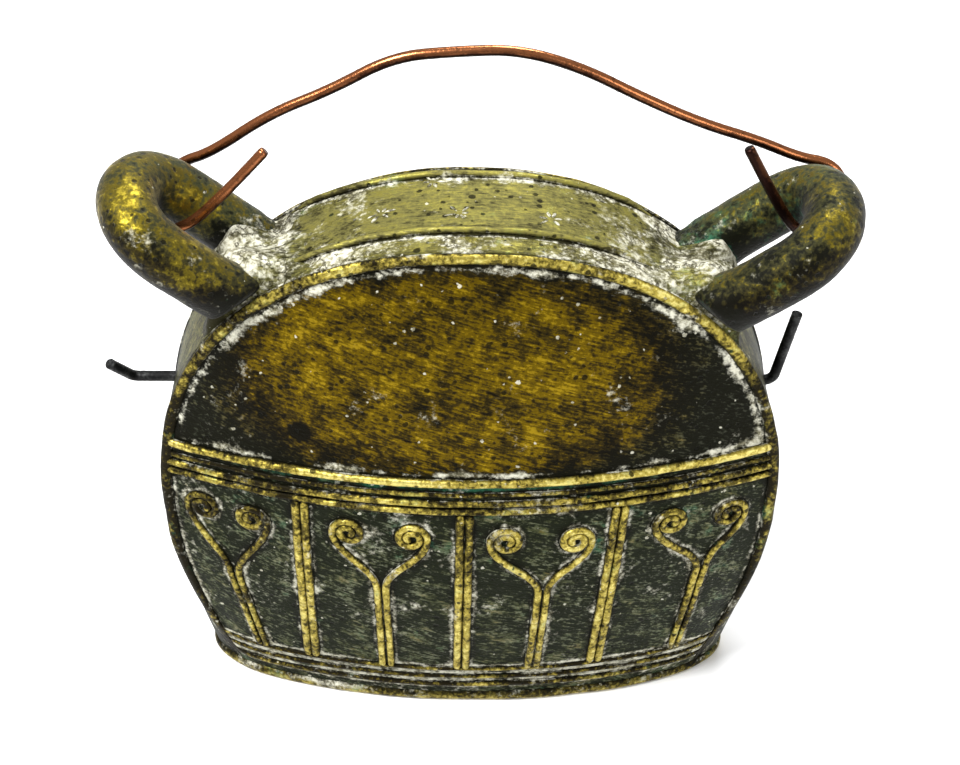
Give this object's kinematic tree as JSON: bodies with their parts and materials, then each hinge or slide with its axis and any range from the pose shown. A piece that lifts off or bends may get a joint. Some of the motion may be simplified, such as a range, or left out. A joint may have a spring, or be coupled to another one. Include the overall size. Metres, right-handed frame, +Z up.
{
  "type": "elephant bell",
  "caption": "Antique cast brass elephant bell with two bulging faces, raised thread ornament, rings on its shoulders, a swinging iron clapper and a copper wire bail.",
  "frame": {"origin": "middle of the open mouth, on the surface that the rim rests on", "axes": "+X across the bell to the right seen from the front, -Y towards the front, +Z up to the crown"},
  "size_m": [0.203, 0.0694, 0.2004],
  "materials": {
    "face_brass": "dark olive patina, worn golden in the middle",
    "band_brass": "satin olive yellow, brushed",
    "rim_brass": "worn bright on the edge, dark above",
    "ring_brass": "mottled brown and golden olive patina",
    "joint_brass": "rough casting with pale deposits",
    "thread_brass": "rubbed bright on top, dark and chalky beside",
    "copper_wire": "drawn wire, reddish brown with worn bright places",
    "iron_wire": "blackened iron",
    "iron_forging": "forged iron, dark brown rust"
  },
  "bodies": {
    "bell": {"back_band_thread_bottom": "thread_brass", "back_band_thread_second": "thread_brass", "back_band_thread_third": "thread_brass", "back_band_thread_top": "thread_brass", "back_bar_left": "thread_brass", "back_bar_middle": "thread_brass", "back_bar_right": "thread_brass", "back_edge_thread": "thread_brass", "back_face": "face_brass", "back_foot_thread_bottom": "thread_brass", "back_foot_thread_middle": "thread_brass", "back_foot_thread_top": "thread_brass", "back_shoulder_rib": "band_brass", "back_volute_1": "thread_brass", "back_volute_2": "thread_brass", "back_volute_3": "thread_brass", "back_volute_4": "thread_brass", "front_band_thread_bottom": "thread_brass", "front_band_thread_second": "thread_brass", "front_band_thread_third": "thread_brass", "front_band_thread_top": "thread_brass", "front_bar_left": "thread_brass", "front_bar_middle": "thread_brass", "front_bar_right": "thread_brass", "front_edge_thread": "thread_brass", "front_face": "face_brass", "front_foot_thread_bottom": "thread_brass", "front_foot_thread_middle": "thread_brass", "front_foot_thread_top": "thread_brass", "front_shoulder_rib": "band_brass", "front_volute_1": "thread_brass", "front_volute_2": "thread_brass", "front_volute_3": "thread_brass", "front_volute_4": "thread_brass", "left_ring": "ring_brass", "left_ring_boss": "joint_brass", "mouth_rim": "rim_brass", "right_ring": "ring_brass", "right_ring_boss": "joint_brass", "shoulder_band": "band_brass"},
    "bail": {"bail": "copper_wire"},
    "clapper_wire": {"clapper_wire": "iron_wire"},
    "clapper": {"clapper": "iron_forging"}
  },
  "joints": [
    {"name": "bail_swing", "type": "hinge", "parent": "bell", "child": "bail", "pos_m": [-0.07999, 0.013, 0.16094], "axis": [0.9998, -0.0159, 0.0085], "range_deg": [-10, 10]},
    {"name": "clapper_swing", "type": "hinge", "parent": "bell", "child": "clapper", "pos_m": [0, 0, 0.1065], "axis": [1, 0, 0], "range_deg": [-14, 14]},
    {"name": "clapper_wire_turn", "type": "hinge", "parent": "bell", "child": "clapper_wire", "pos_m": [0, 0, 0.1065], "axis": [1, 0, 0], "range_deg": [-75, 75]}
  ]
}
